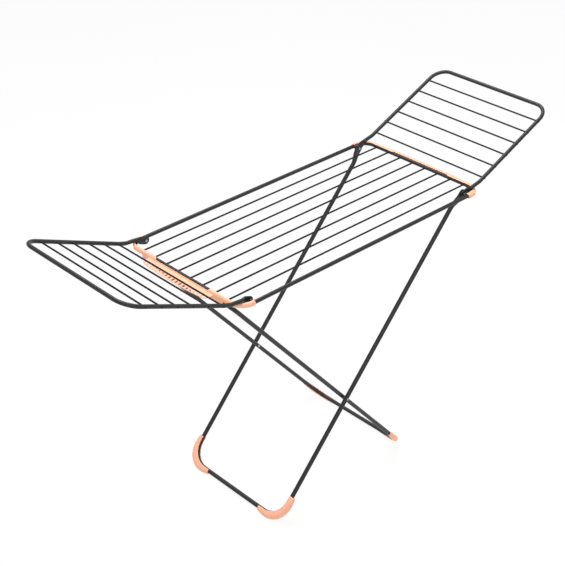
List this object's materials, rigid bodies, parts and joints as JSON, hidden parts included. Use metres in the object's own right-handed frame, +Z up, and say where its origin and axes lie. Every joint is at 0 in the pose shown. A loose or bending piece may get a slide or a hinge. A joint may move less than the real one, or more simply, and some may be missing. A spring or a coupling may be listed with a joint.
{
  "type": "clothes drying rack",
  "caption": "Folding clothes drying rack: a flat wired deck on two crossed tube leg frames, with a hinged sloping wing at each end.",
  "frame": {"origin": "on the floor, below the middle of the open rack", "axes": "+X along the deck towards the end where the outer leg frame is hinged, +Y to the far side, +Z up"},
  "size_m": [1.8608, 0.558, 1.1334],
  "materials": {
    "tube": "satin dark grey powder coat",
    "wire": "satin near-black coat",
    "moulding": "satin peach moulding",
    "rivet": "plain rivet"
  },
  "bodies": {
    "leg_outer": {"leg_outer_base": "tube", "leg_outer_near": "tube", "leg_outer_far": "tube", "foot_outer_near": "moulding", "foot_outer_far": "moulding", "cross_rivet_near": "rivet", "cross_rivet_far": "rivet"},
    "leg_inner": {"leg_inner_base": "tube", "leg_inner_near": "tube", "leg_inner_far": "tube", "leg_inner_bar": "tube", "foot_inner_near": "moulding", "foot_inner_far": "moulding"},
    "deck": {"deck_end_left": "tube", "deck_end_right": "tube", "deck_side_near": "tube", "deck_side_far": "tube", "deck_wire_1": "wire", "deck_wire_2": "wire", "deck_wire_3": "wire", "deck_wire_4": "wire", "deck_wire_5": "wire", "deck_wire_6": "wire", "deck_wire_7": "wire", "deck_wire_8": "wire", "end_cover_left": "moulding", "end_cover_right": "moulding", "wing_rivet_near": "rivet", "wing_rivet_far": "rivet", "hinge_rivet_near": "rivet", "hinge_rivet_far": "rivet"},
    "left_wing": {"left_wing_arm_near": "tube", "left_wing_arm_far": "tube", "left_wing_end": "tube", "left_wing_wire_1": "wire", "left_wing_wire_2": "wire", "left_wing_wire_3": "wire", "left_wing_wire_4": "wire", "left_wing_wire_5": "wire", "left_wing_wire_6": "wire"},
    "right_wing": {"right_wing_arm_near": "tube", "right_wing_arm_far": "tube", "right_wing_end": "tube", "right_wing_wire_1": "wire", "right_wing_wire_2": "wire", "right_wing_wire_3": "wire", "right_wing_wire_4": "wire", "right_wing_wire_5": "wire", "right_wing_wire_6": "wire"}
  },
  "joints": [
    {"name": "deck_hinge", "type": "hinge", "parent": "leg_outer", "child": "deck", "pos_m": [0.488, 0, 0.951], "axis": [0, 1, 0], "range_deg": [0, 38]},
    {"name": "leg_crossing", "type": "hinge", "parent": "leg_outer", "child": "leg_inner", "pos_m": [-0.0473, 0, 0.36103], "axis": [0, 1, 0], "range_deg": [0, 76]},
    {"name": "left_wing_hinge", "type": "hinge", "parent": "deck", "child": "left_wing", "pos_m": [-0.477, 0, 0.951], "axis": [0, 1, 0], "range_deg": [0, 157]},
    {"name": "right_wing_hinge", "type": "hinge", "parent": "deck", "child": "right_wing", "pos_m": [0.488, 0, 0.951], "axis": [0, -1, 0], "range_deg": [0, 154]}
  ],
  "couplings": [
    {"joint": "leg_crossing", "follows": "deck_hinge", "ratio": 2}
  ]
}
